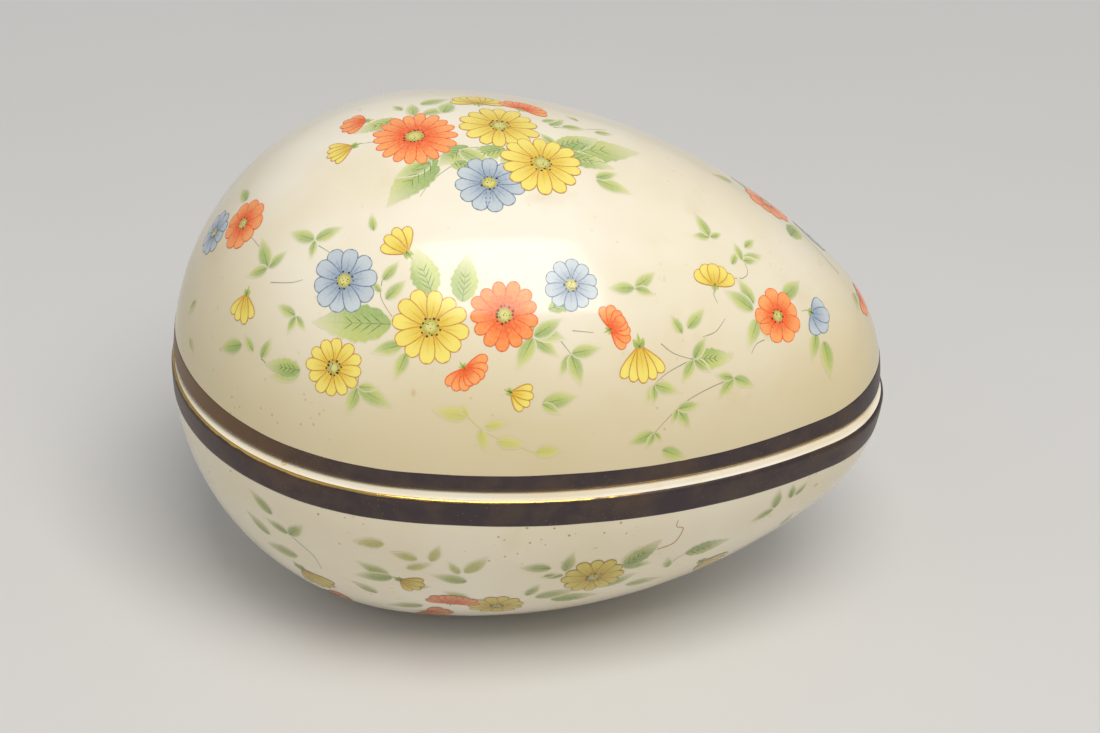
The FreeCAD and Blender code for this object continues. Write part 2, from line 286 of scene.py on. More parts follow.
class Nodes:
    """A small helper for building one material's node tree."""

    def __init__(self, name):
        self.material = bpy.data.materials.new(name)
        self.material.use_nodes = True
        self.tree = self.material.node_tree
        self.shader = next(n for n in self.tree.nodes if n.type == "BSDF_PRINCIPLED")
        self.place = self.add("ShaderNodeTexCoord").outputs["Object"]

    def add(self, kind, sockets=None, **settings):
        """A new node with its settings, and what each socket is fed, by its name or number."""
        node = self.tree.nodes.new(kind)
        for key, value in settings.items():
            setattr(node, key, value)
        for key, value in (sockets or {}).items():
            self.feed(node.inputs[key], value)
        return node

    def feed(self, socket, value):
        """Gives a socket another socket's output, a number, or a colour."""
        if isinstance(value, (int, float)):
            socket.default_value = value
        elif isinstance(value, tuple):
            socket.default_value = (*value, 1.0)
        else:
            self.tree.links.new(value, socket)

    def shade(self, **values):
        """What the shader's own sockets are fed."""
        for name, value in values.items():
            self.feed(self.shader.inputs[name.replace("_", " ")], value)

    def noise(self, size, detail=3.0, offset=0.0):
        """Noise with features of a size in metres. An offset takes it from another place."""
        place = self.place
        if offset:
            shift = self.add("ShaderNodeVectorMath", {0: place}, operation="ADD")
            shift.inputs[1].default_value = (offset, offset, offset)
            place = shift.outputs[0]
        sockets = {"Vector": place, "Scale": 1 / size, "Detail": detail, "Roughness": NOISE_ROUGHNESS}
        return self.add("ShaderNodeTexNoise", sockets).outputs["Fac"]

    def spots(self, size, radius, softness):
        """Round spots scattered on cells of a size in metres: 1 in a spot, 0 outside it."""
        node = self.add("ShaderNodeTexVoronoi", {"Vector": self.place, "Scale": 1 / size}, feature="F1")
        return self.ramp(node.outputs["Distance"], radius, radius + softness, 1.0, 0.0)

    def ramp(self, value, low, high, out_low=0.0, out_high=1.0):
        """A smooth step from out_low at low to out_high at high."""
        sockets = {"Value": value, "From Min": low, "From Max": high, "To Min": out_low, "To Max": out_high}
        return self.add("ShaderNodeMapRange", sockets, interpolation_type="SMOOTHSTEP").outputs["Result"]

    def math(self, operation, first, second):
        """A sum, product or the like of two values, each a socket or a number."""
        return self.add("ShaderNodeMath", {0: first, 1: second}, operation=operation).outputs[0]

    def mix(self, factor, first, second):
        """A mix of two colours, each a socket or a plain colour."""
        return self.add("ShaderNodeMix", {0: factor, 6: first, 7: second}, data_type="RGBA").outputs[2]

    def mix_value(self, factor, first, second):
        """A mix of two numbers, each a socket or a plain number."""
        return self.add("ShaderNodeMix", {0: factor, 2: first, 3: second}, data_type="FLOAT").outputs[0]

    def height(self):
        """The height of a point, in metres, in its object's own frame."""
        return self.add("ShaderNodeSeparateXYZ", {0: self.place}).outputs["Z"]

    def attribute(self, name, output="Fac"):
        """What the mesh's points carry under a name."""
        return self.add("ShaderNodeAttribute", attribute_name=name).outputs[output]

    def bump(self, height, distance, strength):
        """Small relief in the shader's normal, a distance in metres deep."""
        sockets = {"Height": height, "Distance": distance, "Strength": strength}
        self.shade(Normal=self.add("ShaderNodeBump", sockets).outputs["Normal"])


def glaze_grain(nodes):
    """The glaze's roughness, a little uneven."""
    return nodes.ramp(nodes.noise(0.004, offset=1.7), 0.3, 0.7, 0.10, 0.20)


def glaze_gloss(nodes):
    """What every glazed surface shares: a deep clear gloss that ripples very slightly."""
    nodes.shade(Coat_Weight=0.05, Coat_Roughness=0.03, Coat_IOR=1.5, IOR=1.46, Specular_IOR_Level=0.36)
    nodes.bump(nodes.noise(0.006, detail=1.0), 0.00002, strength=0.35)


def porcelain_colour(nodes, seam_shade, white_to, speckled):
    """Warm ivory glaze: clouded, stained, made darker and yellower towards the seam as painted shade, and
    freckled with brown specks.

    Within white_to of the seam, in metres, it has neither the painted shade nor specks. The other two say
    how much of each there is.
    """
    cloud = nodes.ramp(nodes.noise(0.022), 0.35, 0.70)
    body = nodes.mix(cloud, IVORY, DEEPER_IVORY)
    stain = nodes.ramp(nodes.noise(0.009, detail=5.0, offset=0.4), 0.56, 0.80, 0.0, 0.35)
    body = nodes.mix(stain, body, STAIN)
    from_seam = nodes.math("ABSOLUTE", nodes.math("SUBTRACT", nodes.height(), SEAM), 0.0)
    beyond_rim = nodes.ramp(from_seam, white_to, white_to + 0.0015)
    # Painted shade: the glaze turns darker and yellower towards the seam, fully within 4 mm of it, fading
    # out by 26 mm.
    seam_shaded = nodes.math("MULTIPLY", beyond_rim, nodes.ramp(from_seam, 0.004, 0.026, seam_shade, 0.0))
    body = nodes.mix(seam_shaded, body, SEAM_SHADE)
    patches = nodes.ramp(nodes.noise(0.010, offset=0.9), 0.50, 0.62)
    near_seam = nodes.ramp(from_seam, 0.004, 0.016, 1.0, 0.35)
    patches = nodes.math("MULTIPLY", patches, nodes.math("MULTIPLY", near_seam, beyond_rim))
    specks = nodes.math("MULTIPLY", nodes.spots(0.0014, 0.07, 0.11), patches)
    body = nodes.mix(nodes.math("MULTIPLY", specks, speckled), body, SPECK)
    ragged = nodes.ramp(nodes.noise(0.0007, detail=4.0), 0.42, 0.58)
    smudge = nodes.math("MULTIPLY", nodes.spots(0.0085, 0.02, 0.07), ragged)
    return nodes.mix(nodes.math("MULTIPLY", smudge, speckled), body, SMUDGE)


def make_porcelain(name, marks_and_shade):
    """Glazed porcelain, bare and matt under the foot."""
    nodes = Nodes(name)
    unglazed = nodes.ramp(nodes.height(), 0.00004, 0.00010, 1.0, 0.0)
    body = nodes.mix(unglazed, porcelain_colour(nodes, **marks_and_shade), BARE_BODY)
    nodes.shade(Base_Color=body, Roughness=nodes.mix_value(unglazed, glaze_grain(nodes), 0.75))
    glaze_gloss(nodes)
    return nodes.material


def make_gilding():
    """Fired-on gold, tarnished nearly black, with brown patches and bright rubbed edges."""
    nodes = Nodes("gilding")
    cloud = nodes.ramp(nodes.noise(0.0035, detail=6.0), 0.35, 0.68)
    dark = nodes.mix(cloud, TARNISH, WARM_TARNISH)
    patch = nodes.ramp(nodes.noise(0.013, detail=4.0, offset=0.3), 0.54, 0.76, 0.0, 0.4)
    colour = nodes.mix(patch, dark, TARNISH_PATCH)
    colour = nodes.mix(nodes.attribute("brown"), colour, TARNISH_BROWN)
    scattered = nodes.ramp(nodes.noise(0.004, offset=2.2), 0.42, 0.62)
    pinprick = nodes.math("MULTIPLY", nodes.spots(0.0006, 0.10, 0.14), scattered)
    colour = nodes.mix(nodes.math("MULTIPLY", pinprick, 0.5), colour, TARNISH_PINPRICK)
    rub = nodes.attribute("rub")
    grit = nodes.noise(0.0016, detail=5.0, offset=3.1)
    ragged = nodes.math("ADD", rub, nodes.math("MULTIPLY", grit, 0.5))
    bright = nodes.ramp(ragged, 0.62, 0.86)
    colour = nodes.mix(bright, colour, BRIGHT_GOLD)
    nodes.shade(
        Base_Color=colour, Roughness=nodes.mix_value(bright, 0.42, 0.20),
        Metallic=nodes.mix_value(bright, 0.55, 1.0))
    nodes.bump(nodes.noise(0.0006, detail=4.0), 0.00003, strength=0.5)
    return nodes.material


def make_transfer(name, marks_and_shade):
    """Overglaze colours: each vertex carries its ink and how much it covers, and the print is grainy."""
    nodes = Nodes(name)
    glaze = porcelain_colour(nodes, **marks_and_shade)
    ink = nodes.attribute("ink", "Color")
    grain = nodes.ramp(nodes.noise(0.00035, detail=2.0), 0.30, 0.75, 1.0, 0.84)
    cover = nodes.math("MULTIPLY", nodes.attribute("cover"), grain)
    nodes.shade(Base_Color=nodes.mix(cover, glaze, ink), Roughness=glaze_grain(nodes))
    glaze_gloss(nodes)
    return nodes.material


def make_floor_material():
    """Plain pale matt grey, very faintly clouded."""
    nodes = Nodes("floor")
    tone = nodes.mix(nodes.noise(0.08), FLOOR_DARK, FLOOR_PALE)
    nodes.shade(Base_Color=tone, Roughness=0.8)
    return nodes.material


# Painted shade and real marks: the first says how strongly the glaze is darkened towards the seam, the last
# how many specks there are.
BASE_MARKS_AND_SHADE = dict(seam_shade=0.25, white_to=0.0027, speckled=0.8)
LID_MARKS_AND_SHADE = dict(seam_shade=0.7, white_to=0.0, speckled=0.4)
base_porcelain = make_porcelain("base_porcelain", BASE_MARKS_AND_SHADE)
lid_porcelain = make_porcelain("lid_porcelain", LID_MARKS_AND_SHADE)
gilding = make_gilding()
base_transfer = make_transfer("base_transfer", BASE_MARKS_AND_SHADE)
lid_transfer = make_transfer("lid_transfer", LID_MARKS_AND_SHADE)

# ---- the porcelain halves

FOOT_RINGS = (30.9, FOOT_DEPTH, 31.3, 31.75, 31.83, 31.86, 31.89, 31.92, 31.96)
DISH_EDGE_WIDTH = 0.12
FLOOR_RINGS = (27.5, 28.2, 28.6)
FLOOR_SOFTNESS = 1.2
LIP_FOOT = ((1.8, 0), (0.45, 0), (0.15, 0.06), (0, 0.3), (0, 1.2))  # gap outside the lip, height
LIP_INSIDE = (0.6, -1.2)  # heights of rings down the lip's inside
LAND_CORNER = 0.6  # rounding inside, under the land
RIM_STEPS = 9
EDGE_STEPS = 6
CORNER_STEPS = 5


def foot_profile(depth):
    """How far below the seam the outside is: the egg, the flat foot ring, and its shallow dish."""
    flat = min(depth, FOOT_DEPTH)
    dish = min(max((depth - DISH_EDGE_DEPTH) / DISH_EDGE_WIDTH, 0.0), 1.0)
    return flat - DISH_RISE * dish * dish * (3 - 2 * dish)


def build_base_shell():
    """The bowl: outside, rim, land, lip, inside and floor, as one closed shell."""
    outside = [
        level_ring(BASE_INSET, depth, -foot_profile(depth))
        for depth in ring_depths(BASE_INSET, RIM_ROUNDING, FOOT_RINGS)
    ]
    lip_outer = BASE_INSET + LAND_WIDTH
    lip_inner = lip_outer + LIP_THICKNESS
    inside_inset = BASE_INSET + BASE_WALL
    rings = outside[::-1]
    rings += quarter_round(BASE_INSET, RIM_ROUNDING, 0.0, RIM_STEPS, outward=True, upward=True)[1:]
    rings += [offset_ring(lip_outer - gap, height) for gap, height in LIP_FOOT]
    lip_top = dict(radius=LIP_ROUNDING, height=LIP_HEIGHT, steps=EDGE_STEPS, upward=True)
    rings += quarter_round(lip_outer, outward=True, **lip_top)
    rings += quarter_round(lip_inner, outward=False, **lip_top)[::-1]
    rings += [offset_ring(lip_inner, height) for height in LIP_INSIDE]
    rings += quarter_round(
        lip_inner, LAND_CORNER, -LAND_THICKNESS, CORNER_STEPS, outward=False, upward=False)
    inside_depths = ring_depths(inside_inset, LAND_THICKNESS + 0.5, FLOOR_RINGS)
    rings += [offset_ring(inside_inset + LAND_CORNER, -LAND_THICKNESS)]
    rings += [level_ring(inside_inset, depth, -soft_floor(depth)) for depth in inside_depths]
    poles = [(*CROWN, DISH_RISE - FOOT_DEPTH), (*CROWN, -FLOOR_DEPTH)]
    return ring_shell(
        "base_porcelain", rings, poles, body="base", place=BASE_PLACE,
        material=base_porcelain, material_slot="glazed_porcelain")


def soft_floor(depth):
    """The inside's depth, easing into the flat floor."""
    blend = max(FLOOR_SOFTNESS - abs(depth - FLOOR_DEPTH), 0.0) / FLOOR_SOFTNESS
    return min(depth, FLOOR_DEPTH) - blend * blend * FLOOR_SOFTNESS / 4


def build_lid_shell():
    """The lid: outside, rounded mouth and inside, as one closed shell."""
    inside_inset = LID_OUTSIDE + LID_WALL
    rings = [level_ring(LID_OUTSIDE, depth) for depth in ring_depths(LID_OUTSIDE, RIM_ROUNDING)][::-1]
    rings += quarter_round(LID_OUTSIDE, RIM_ROUNDING, 0.0, RIM_STEPS, outward=True, upward=False)[1:]
    mouth = quarter_round(inside_inset, LID_INNER_ROUNDING, 0.0, EDGE_STEPS, outward=False, upward=False)
    rings += mouth[::-1]
    inside_depths = ring_depths(inside_inset, LID_INNER_ROUNDING + 0.3)
    rings += [level_ring(inside_inset, depth) for depth in inside_depths]
    poles = [(*CROWN, half_width(CROWN[0], inset)[0]) for inset in (LID_OUTSIDE, inside_inset)]
    return ring_shell(
        "lid_porcelain", rings, poles, body="lid", place=LID_PLACE,
        material=lid_porcelain, material_slot="glazed_porcelain")


# ---- the gilding

FILM_PROUD = 0.03  # the film's outside, off the porcelain
FILM_SUNK = 0.03  # its inside, within the porcelain
FILM_START = math.radians(58)  # where it starts, round the rim's rounding
RUB_FADE = 1.15  # how fast the rubbed gold gives out round the rim
BRUSH_WANDER = 0.06
BRUSH_WAVES = (3, 5, 9, 17, 31)


def wander(amount, seed):
    """A brush's wavering line round the rim, in millimetres."""
    draw = random.Random(seed)
    turn = np.linspace(0, 2 * math.pi, AROUND, endpoint=False)
    return sum(amount / wave**0.5 * np.sin(wave * turn + draw.uniform(0, 6.3)) for wave in BRUSH_WAVES)


def build_gilding(name, node, body, place, inset, far_edge, side, seed, bright, brown):
    """A film of gold from the rounding at the seam to a brushed edge.

    Side is 1 on the lid and -1 on the base. Bright and brown say how rubbed the edge is, and how brown
    the film, round the rim.
    """
    rings, rub = [], []

    def add(ring, worn):
        rings.append(ring)
        rub.append(worn * bright)

    film_heights = [-FILM_SUNK] + [FILM_PROUD] * (RIM_STEPS - 1)
    for angle, proud in zip(np.linspace(FILM_START, 0, RIM_STEPS), film_heights):
        across = RIM_ROUNDING * (1 - math.cos(angle)) - proud * math.cos(angle)
        rise = RIM_ROUNDING * (1 - math.sin(angle)) - proud * math.sin(angle)
        worn = max(0.0, 1.0 - (FILM_START - angle) / FILM_START * RUB_FADE)
        add(offset_ring(inset + across, side * rise), worn)
    edge = far_edge + wander(BRUSH_WANDER, seed)
    outside = [(share, inset - FILM_PROUD) for share in np.linspace(0.1, 1.0, 10)]
    inside = [(share, inset + FILM_SUNK) for share in np.linspace(1.02, 0.0, 6)]
    for share, film_inset in outside + inside:
        depth = RIM_ROUNDING + (edge - RIM_ROUNDING) * share
        add(level_ring(film_inset, depth, side * depth), 0.0)
    points = np.vstack(rings)
    faces = ring_faces(len(rings), closed=True)
    piece = add_object(name, points, faces, body, place, gilding, "gilding")
    add_attribute(piece, "rub", np.concatenate(rub))
    add_attribute(piece, "brown", np.tile(brown, len(rings)))
    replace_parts(piece, node)


def widening(middle, blunt_end, narrow_end):
    """A band's height round the rim: one value along the sides, others at the two ends."""
    along = OUTWARD[:, 0]
    towards_narrow = np.clip(along, 0, 1) ** 3
    towards_blunt = np.clip(-along, 0, 1) ** 3
    return middle + (narrow_end - middle) * towards_narrow + (blunt_end - middle) * towards_blunt


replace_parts(build_base_shell(), "base_shell")
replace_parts(build_lid_shell(), "lid_shell")
narrow_side = ease(OUTLINE[:, 0], -8, 22)
blunt_side = 1 - ease(OUTLINE[:, 0], -42, -18)
build_gilding(
    "base_gilding", "base_gilt_band", "base", BASE_PLACE, BASE_INSET, far_edge=3.7, side=-1, seed=4,
    bright=1.0 - 0.55 * narrow_side, brown=0.1 * blunt_side)
build_gilding(
    "lid_gilding", "lid_gilt_band", "lid", LID_PLACE, LID_OUTSIDE, far_edge=widening(2.5, 3.4, 3.9), side=1,
    seed=9, bright=0.45 + 0.55 * narrow_side, brown=0.7 * blunt_side)

# ---- the printed flowers

STEM_LIFT = 0.014  # how far the ink stands off the glaze
LEAF_LIFT = 0.021
FIRST_FLOWER_LIFT = 0.034
LEVEL_LIFT = 0.008
LIFTS_PER_LEVEL = 3
LEAF_STEP = 0.0022  # between neighbours that overlap
PETAL_STEP = 0.003
SETTLE_STEPS = 6  # that bring a flat patch down on to the egg
EDGE_FADE = 0.07  # widths of the rows of points along a petal's or leaf's edge
INK_LINE = 0.17
STROKE_STEP = 0.125  # along a stem, from one place to the next
BLADE_COLUMNS = 11

PETAL_START = 0.16  # shares of a daisy's radius
CENTRE_SHARE = 0.21
STIPPLE = 9
CALYX = ((150, 0.30, 0.10), (-150, 0.30, 0.10), (180, 0.42, 0.05))  # turn, length, breadth
LEAF_GROWTH = 1.12
LARGE_LEAF = 4.9  # above this length a leaf has teeth and veins
LARGE_LEAF_TEETH = 7
TOOTH_DEPTH = 0.16
RIB_WIDTH = 0.05
VEINS = (0.12, 0.24, 0.36, 0.48)
VEIN_ANGLE = 38


def unit(vectors):
    """The same directions with length 1."""
    return vectors / np.linalg.norm(vectors, axis=-1, keepdims=True)


def egg_normal(points, inset):
    """Outward normals of the inset egg at points on or near it."""
    width, slope = half_width(points[:, 0], inset)
    return unit(np.stack([-width * slope, points[:, 1], points[:, 2]], axis=1))


def egg_point(x, girth, inset):
    """Points on the inset egg at stations and girth angles."""
    x, turn = np.atleast_1d(np.asarray(x, float)), np.radians(np.atleast_1d(girth))
    width, _ = half_width(x, inset)
    return np.stack([x, -width * np.cos(turn), width * np.sin(turn)], axis=1)


def blend_colours(share, first, second):
    """Colours between two, by a share for each point."""
    share = np.asarray(share, float)[:, None]
    return np.asarray(first) * (1 - share) + np.asarray(second) * share


def blade(length, half_width_at, rows):
    """A petal or leaf drawn flat, from its root at the origin to its tip along X.

    Gives its points, its faces and each point's distance in from the edge.
    """
    flat, edge = [(0.0, 0.0)], [0.0]
    for row in rows:
        half = half_width_at(row)
        fade = min(EDGE_FADE, 0.2 * half)
        line = min(INK_LINE, 0.45 * half)
        rib = min(0.1, 0.25 * half)
        cuts = [half, half - fade, half - line, (half - line + rib) / 2, rib]
        across = [-cut for cut in cuts] + [0.0] + cuts[::-1]
        flat += [(row * length, y) for y in across]
        edge += [min(half - abs(y), (1 - row) * length) for y in across]
    flat.append((length, 0.0))
    edge.append(0.0)
    last, tip = 1 + (len(rows) - 1) * BLADE_COLUMNS, len(flat) - 1
    faces = []
    for c in range(BLADE_COLUMNS - 1):
        faces.append((0, 1 + c, 2 + c))
        faces.append((last + c, tip, last + c + 1))
        for here in range(1 + c, last + c, BLADE_COLUMNS):
            there = here + BLADE_COLUMNS
            faces.append((here, there, there + 1, here + 1))
    return np.array(flat), faces, np.array(edge)


def disc(radius, steps, rings=(1.0, 0.8, 0.45)):
    """A round spot drawn flat. Gives its points, faces and each point's share of the radius."""
    flat, share = [], []
    for ring in rings:
        for i in range(steps):
            angle = 2 * math.pi * i / steps
            flat.append((ring * radius * math.cos(angle), ring * radius * math.sin(angle)))
            share.append(ring)
    flat.append((0.0, 0.0))
    share.append(0.0)
    faces = []
    for i in range(steps):
        j = (i + 1) % steps
        for ring in range(len(rings) - 1):
            here, there = ring * steps, (ring + 1) * steps
            faces.append((here + i, here + j, there + j, there + i))
        inner = (len(rings) - 1) * steps
        faces.append((inner + i, inner + j, len(flat) - 1))
    return np.array(flat), faces, np.array(share)


def turned(flat, degrees, forward=0.0):
    """Flat points pushed forward along X, then turned about the origin."""
    angle = math.radians(degrees)
    ahead, aside = math.cos(angle), math.sin(angle)
    x, y = flat[:, 0] + forward, flat[:, 1]
    return np.stack([x * ahead - y * aside, x * aside + y * ahead], axis=1)


def petal_half_width(broad, roundness):
    """A petal's half width along its length: narrow at the root and round at the tip."""
    def at(share):
        swell = 0.45 + 0.55 * math.sin(min(share / roundness, 1) * math.pi / 2)
        cap = max((share - roundness) / (1 - roundness), 0.0)
        return broad * swell * math.sqrt(max(1 - cap * cap, 0.0))
    return at


def leaf_half_width(broad, teeth=0):
    """A leaf's half width along its length: widest near the root, pointed, and toothed if large."""
    def at(share):
        smooth = broad * math.sin(math.pi * share**0.72) ** 0.9
        return smooth * (1 - TOOTH_DEPTH * (share * teeth % 1.0))
    return at


PETAL_ROWS = (0.05, 0.2, 0.38, 0.55, 0.7, 0.8, 0.88, 0.94, 0.975)
LEAF_ROWS = (0.08, 0.11, 0.17, 0.28, 0.4, 0.52, 0.64, 0.76, 0.87, 0.95)

INKS = {
    "yellow": dict(root=srgb(228, 192, 50), tip=srgb(246, 227, 108), line=srgb(198, 134, 42), streak=0.5),
    "red": dict(root=srgb(242, 88, 8), tip=srgb(254, 164, 92), line=srgb(242, 86, 8), streak=0.5),
    "coral": dict(root=srgb(243, 100, 24), tip=srgb(252, 150, 76), line=srgb(236, 88, 20), streak=0.6),
    "blue": dict(root=srgb(146, 164, 184), tip=srgb(194, 205, 212), line=srgb(92, 116, 150), streak=0.6),
}
CENTRE_PALE, CENTRE_DEEP = srgb(222, 216, 128), srgb(178, 172, 66)
DOT_INK = srgb(58, 42, 28)
LEAF_RIB = srgb(70, 92, 50)
LEAF_DEEP = srgb(134, 170, 80)
FAINT_DEEP = srgb(196, 198, 96)
LEAF_INKS = {
    "green": dict(pale=srgb(208, 214, 112), deep=LEAF_DEEP, rib=0.85, strength=0.88),
    "faint": dict(pale=srgb(222, 214, 112), deep=FAINT_DEEP, rib=0.2, strength=0.85),
}
STEM_INK = srgb(96, 106, 80)
HAIRLINE_INK = srgb(212, 128, 50)
BASE_INK_SHADE = 0.66  # painted shade: the base's inks are darker by this much


class Spray:
    """One sheet of transfer: patches of ink laid on the egg, gathered into one mesh."""

    def __init__(self, name, body, seed):
        # The base's inks carry painted shade: they are darkened by a fixed share.
        self.tone = BASE_INK_SHADE if body == "base" else 1.0
        self.name, self.body = name, body
        self.inset = LID_OUTSIDE if body == "lid" else BASE_INSET
        self.draw = random.Random(seed)
        self.points, self.faces, self.inks, self.covers = [], [], [], []
        self.count = 0

    def vary(self, amount):
        """A random share near 1."""
        return 1 + self.draw.uniform(-amount, amount)

    def add(self, points, faces, ink, cover, lift):
        """A patch of ink on the egg, raised off the glaze by its lift."""
        self.points.append(points + egg_normal(points, self.inset) * lift)
        self.faces += [tuple(i + self.count for i in face) for face in faces]
        # Here the painted shade darkens every ink on the base.
        self.inks.append(np.broadcast_to(ink, (len(points), 3)) * self.tone)
        self.covers.append(np.broadcast_to(cover, (len(points),)))
        self.count += len(points)

    def lay(self, spot, flat, faces, ink, cover, lift):
        """A patch drawn flat at a spot (x, girth, heading), wrapped down on to the egg."""
        x, girth, heading = spot
        origin = egg_point(x, girth, self.inset)
        normal = egg_normal(origin, self.inset)[0]
        turn, aim = math.radians(girth), math.radians(heading)
        round_girth = np.array([0.0, math.sin(turn), math.cos(turn)])
        along = np.cross(round_girth, normal)
        ahead = along * math.cos(aim) + round_girth * math.sin(aim)
        aside = round_girth * math.cos(aim) - along * math.sin(aim)
        points = origin + flat[:, :1] * ahead + flat[:, 1:] * aside
        for _ in range(SETTLE_STEPS):
            width, slope = half_width(points[:, 0], self.inset)
            miss = points[:, 1] ** 2 + points[:, 2] ** 2 - width**2
            across = points[:, 1] * normal[1] + points[:, 2] * normal[2]
            steepness = 2 * (across - width * slope * normal[0])
            points = points - (miss / steepness)[:, None] * normal
        self.add(points, faces, ink, cover, lift)

    def petal(self, spot, angle, inner, length, broad, kind, lift, roundness=0.72):
        """One petal with a thin darker outline and a streak from its root."""
        inks = INKS[kind]
        flat, faces, edge = blade(length, petal_half_width(broad, roundness), PETAL_ROWS)
        share = flat[:, 0] / length
        fill = blend_colours(ease(share, 0.05, 0.8) * self.vary(0.12), inks["root"], inks["tip"])
        streak = (np.abs(flat[:, 1]) < 0.06) * (1 - ease(share, 0.3, 0.8)) * inks["streak"]
        fill = blend_colours(streak, fill, inks["line"])
        ink = blend_colours(1 - ease(edge, 0.09, INK_LINE), fill, inks["line"])
        self.lay(spot, turned(flat, angle, inner), faces, ink, 1.0, lift)

    def dot(self, spot, away, angle, radius, ink, lift):
        """A small round dot, away from a spot at an angle."""
        flat, faces, _ = disc(radius, 8, (1.0,))
        self.lay(spot, turned(flat, angle, away), faces, ink, 1.0, lift)

    def daisy(self, x, girth, diameter, petals, kind, level=0):
        """A daisy seen face on: petals, a yellow centre, and a ring of dark dots."""
        radius, lift = diameter / 2, FIRST_FLOWER_LIFT + level * LIFTS_PER_LEVEL * LEVEL_LIFT
        spot = (x, girth, self.draw.uniform(0, 360))
        inner, pitch = PETAL_START * radius, 360 / petals
        for i in range(petals):
            length = radius * self.vary(0.05) - inner
            broad = (inner + 0.74 * length) * math.tan(math.radians(pitch / 2)) * 1.04
            angle = pitch * (i + self.draw.uniform(-0.08, 0.08))
            self.petal(spot, angle, inner, length, broad, kind, lift + (i % 2) * PETAL_STEP)
        middle = CENTRE_SHARE * radius
        flat, faces, share = disc(middle, 20)
        ink = blend_colours(ease(share, 0.3, 0.95), CENTRE_PALE, CENTRE_DEEP)
        self.lay(spot, flat, faces, ink, 1.0, lift + LEVEL_LIFT)
        self.stamens(spot, middle, petals, lift + LEVEL_LIFT * 1.8)

    def stamens(self, spot, middle, petals, lift):
        """The dark dots round a daisy's centre, and fine stipple within it."""
        for i in range(petals):
            angle = 360 * (i + self.draw.uniform(0.3, 0.7)) / petals
            away, size = middle * self.draw.uniform(0.95, 1.35), self.draw.uniform(0.09, 0.17)
            self.dot(spot, away, angle, size, DOT_INK, lift)
        for _ in range(STIPPLE):
            away, angle = middle * self.draw.uniform(0.1, 0.8), self.draw.uniform(0, 360)
            self.dot(spot, away, angle, self.draw.uniform(0.05, 0.08), DOT_INK, lift)

    def bud(self, x, girth, heading, length, kind, petals=5, span=40, flat=1.15):
        """A half-open flower seen from the side, with a small green calyx and stem behind it.

        flat is the length of its middle petal over that of its outermost ones.
        """
        spot, lift = (x, girth, heading), FIRST_FLOWER_LIFT
        for turn, share, broad in CALYX:
            self.leaf(x, girth, heading + turn, length * share, broad=length * broad, lift=lift)
        order = sorted(range(petals), key=lambda i: -abs(i - (petals - 1) / 2))
        for rank, i in enumerate(order):
            angle = span * (2 * i / (petals - 1) - 1)
            reach = math.hypot(math.cos(math.radians(angle)) * flat, math.sin(math.radians(angle)))
            size = length * reach / max(flat, 1.0) * self.vary(0.05)
            broad = length * math.radians(span) / petals * 1.25
            rise = lift + LEVEL_LIFT + rank * PETAL_STEP
            self.petal(spot, angle, 0.0, size, broad, kind, rise, roundness=0.68)

    def half_daisy(self, x, girth, heading, length, kind):
        """A daisy seen nearly from its edge: a broad shallow fan of many petals."""
        self.bud(x, girth, heading, length, kind, petals=8, span=88, flat=0.72)

    def leaf(self, x, girth, heading, length, broad=None, style="green", lift=None):
        """A pointed leaf: soft at its edge, deeper on one side and towards its root, with a dark rib.

        A leaf with a lift of its own is printed solid.
        """
        large = length > LARGE_LEAF and style == "green"
        length = length if broad else length * LEAF_GROWTH
        broad = broad or length * (0.25 if large else 0.235)
        rows = np.linspace(0.02, 0.97, 24) if large else LEAF_ROWS
        shape = leaf_half_width(broad, LARGE_LEAF_TEETH if large else 0)
        flat, faces, edge = blade(length, shape, rows)
        share, side = flat[:, 0] / length, flat[:, 1] / broad
        inks = LEAF_INKS[style]
        flip = self.draw.choice((-1, 1))
        shade = ease(side * flip + self.draw.uniform(-0.2, 0.2), -0.7, 0.7) * 0.5 + 0.5 * (1 - share)
        ink = blend_colours(shade * self.vary(0.15), inks["pale"], inks["deep"])
        rib = (np.abs(flat[:, 1]) < RIB_WIDTH) * (1 - ease(share, 0.1, 0.9)) * inks["rib"]
        ink = blend_colours(rib, ink, LEAF_RIB)
        softness = 0.16 if large else min(0.34, 0.5 * broad)
        soft_edge = ease(edge, -0.1 * softness, softness)
        cover = 1.0 if lift else inks["strength"] * soft_edge * (1 - 0.6 * ease(share, 0.45, 1.0))
        lift = lift or LEAF_LIFT + (self.count % 5) * LEAF_STEP
        spot = (x, girth, heading)
        self.lay(spot, flat, faces, ink, cover, lift)
        for vein in VEINS if large else ():
            for way in (-1, 1):
                self.vein(spot, vein * length, way, broad * (1.05 - vein), lift + 0.005)

    def vein(self, spot, start, way, length, lift):
        """A fine side vein, from the rib of a large leaf towards its edge."""
        flat, faces, _ = blade(length, leaf_half_width(0.06), LEAF_ROWS)
        ink = blend_colours(0.35 + 0.65 * flat[:, 0] / length, LEAF_RIB, LEAF_DEEP)
        self.lay(spot, turned(flat, way * VEIN_ANGLE) + np.array([start, 0.0]), faces, ink, 1.0, lift)

